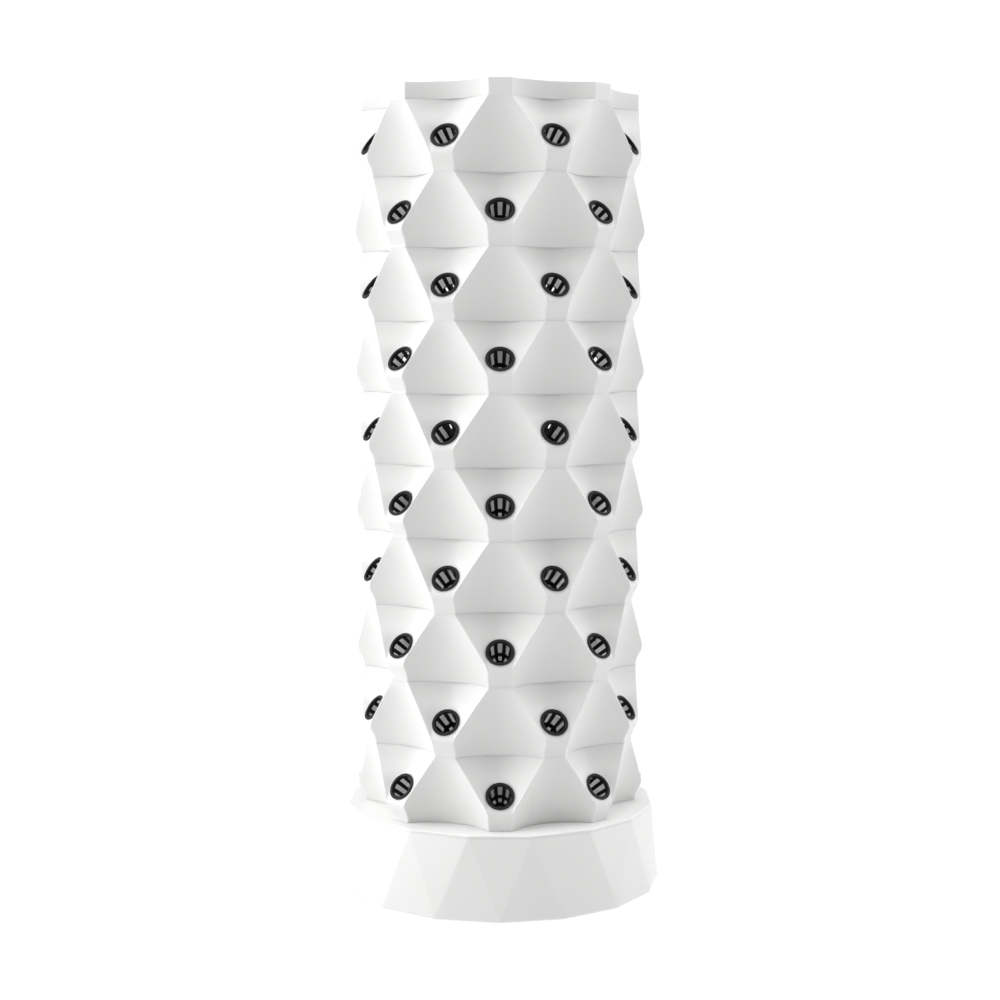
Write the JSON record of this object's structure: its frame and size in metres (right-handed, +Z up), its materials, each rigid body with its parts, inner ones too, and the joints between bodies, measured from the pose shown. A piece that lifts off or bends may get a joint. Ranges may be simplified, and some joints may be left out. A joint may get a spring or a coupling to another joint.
{
  "type": "vertical planter tower",
  "caption": "Vertical planter tower: stacked faceted rings with slanted net cups on a water tank, with a pump, riser pipe and drip tray inside",
  "frame": {"origin": "on the floor, on the axis of the tower, under the middle of the tank", "axes": "+Z up along the tower's axis, -Y towards the front of the picture, +X to the right of the front"},
  "size_m": [0.514, 0.514, 1.254],
  "materials": {
    "white_shell": "satin white moulded plastic",
    "black_cup": "satin black moulded plastic",
    "grey_pipe": "plain extruded pipe plastic",
    "black_pump": "satin black pump plastic",
    "shaft_steel": "ground stainless shaft",
    "black_rubber": "matt soft rubber"
  },
  "bodies": {
    "tower": {"tank": "white_shell", "tank_deck": "white_shell", "cable_grommet": "black_rubber", "ring_01": "white_shell", "ring_02": "white_shell", "ring_03": "white_shell", "ring_04": "white_shell", "ring_05": "white_shell", "ring_06": "white_shell", "ring_07": "white_shell", "ring_08": "white_shell", "ring_09": "white_shell", "ring_10": "white_shell", "drip_tray": "white_shell", "spray_head": "grey_pipe", "riser_lower": "grey_pipe", "riser_middle": "grey_pipe", "riser_upper": "grey_pipe", "riser_coupling_lower": "grey_pipe", "riser_coupling_upper": "grey_pipe", "pump_adapter": "grey_pipe", "pump_housing": "black_pump", "pump_volute_cover": "black_pump", "pump_shaft": "shaft_steel", "pump_strainer": "black_pump", "pump_foot_1": "black_rubber", "pump_foot_2": "black_rubber", "pump_foot_3": "black_rubber", "pump_foot_4": "black_rubber"},
    "cover": {"top_cover": "white_shell"},
    "rotor": {"pump_rotor": "black_pump"},
    "cup_05_1": {"cup_05_1": "black_cup"},
    "cup_05_2": {"cup_05_2": "black_cup"},
    "cup_05_3": {"cup_05_3": "black_cup"},
    "cup_05_4": {"cup_05_4": "black_cup"},
    "cup_05_5": {"cup_05_5": "black_cup"},
    "cup_05_6": {"cup_05_6": "black_cup"},
    "cup_05_7": {"cup_05_7": "black_cup"},
    "cup_05_8": {"cup_05_8": "black_cup"},
    "cup_06_1": {"cup_06_1": "black_cup"},
    "cup_06_2": {"cup_06_2": "black_cup"},
    "cup_06_3": {"cup_06_3": "black_cup"},
    "cup_06_4": {"cup_06_4": "black_cup"},
    "cup_06_5": {"cup_06_5": "black_cup"},
    "cup_06_6": {"cup_06_6": "black_cup"},
    "cup_06_7": {"cup_06_7": "black_cup"},
    "cup_06_8": {"cup_06_8": "black_cup"}
  },
  "joints": [
    {"name": "cover_lift", "type": "slide", "parent": "tower", "child": "cover", "axis": [0, 0, 1], "range_m": [0, 0.05]},
    {"name": "rotor_spin", "type": "hinge", "parent": "tower", "child": "rotor", "pos_m": [0, 0, 0.046], "axis": [0, 1, 0], "continuous": true},
    {"name": "cup_05_1_pull", "type": "slide", "parent": "tower", "child": "cup_05_1", "axis": [0.3096, -0.7474, 0.5878], "range_m": [0, 0.05]},
    {"name": "cup_05_2_pull", "type": "slide", "parent": "tower", "child": "cup_05_2", "axis": [0.7474, -0.3096, 0.5878], "range_m": [0, 0.05]},
    {"name": "cup_05_3_pull", "type": "slide", "parent": "tower", "child": "cup_05_3", "axis": [0.7474, 0.3096, 0.5878], "range_m": [0, 0.05]},
    {"name": "cup_05_4_pull", "type": "slide", "parent": "tower", "child": "cup_05_4", "axis": [0.3096, 0.7474, 0.5878], "range_m": [0, 0.05]},
    {"name": "cup_05_5_pull", "type": "slide", "parent": "tower", "child": "cup_05_5", "axis": [-0.3096, 0.7474, 0.5878], "range_m": [0, 0.05]},
    {"name": "cup_05_6_pull", "type": "slide", "parent": "tower", "child": "cup_05_6", "axis": [-0.7474, 0.3096, 0.5878], "range_m": [0, 0.05]},
    {"name": "cup_05_7_pull", "type": "slide", "parent": "tower", "child": "cup_05_7", "axis": [-0.7474, -0.3096, 0.5878], "range_m": [0, 0.05]},
    {"name": "cup_05_8_pull", "type": "slide", "parent": "tower", "child": "cup_05_8", "axis": [-0.3096, -0.7474, 0.5878], "range_m": [0, 0.05]},
    {"name": "cup_06_1_pull", "type": "slide", "parent": "tower", "child": "cup_06_1", "axis": [0, -0.809, 0.5878], "range_m": [0, 0.05]},
    {"name": "cup_06_2_pull", "type": "slide", "parent": "tower", "child": "cup_06_2", "axis": [0.5721, -0.5721, 0.5878], "range_m": [0, 0.05]},
    {"name": "cup_06_3_pull", "type": "slide", "parent": "tower", "child": "cup_06_3", "axis": [0.809, 0, 0.5878], "range_m": [0, 0.05]},
    {"name": "cup_06_4_pull", "type": "slide", "parent": "tower", "child": "cup_06_4", "axis": [0.5721, 0.5721, 0.5878], "range_m": [0, 0.05]},
    {"name": "cup_06_5_pull", "type": "slide", "parent": "tower", "child": "cup_06_5", "axis": [0, 0.809, 0.5878], "range_m": [0, 0.05]},
    {"name": "cup_06_6_pull", "type": "slide", "parent": "tower", "child": "cup_06_6", "axis": [-0.5721, 0.5721, 0.5878], "range_m": [0, 0.05]},
    {"name": "cup_06_7_pull", "type": "slide", "parent": "tower", "child": "cup_06_7", "axis": [-0.809, 0, 0.5878], "range_m": [0, 0.05]},
    {"name": "cup_06_8_pull", "type": "slide", "parent": "tower", "child": "cup_06_8", "axis": [-0.5721, -0.5721, 0.5878], "range_m": [0, 0.05]}
  ]
}
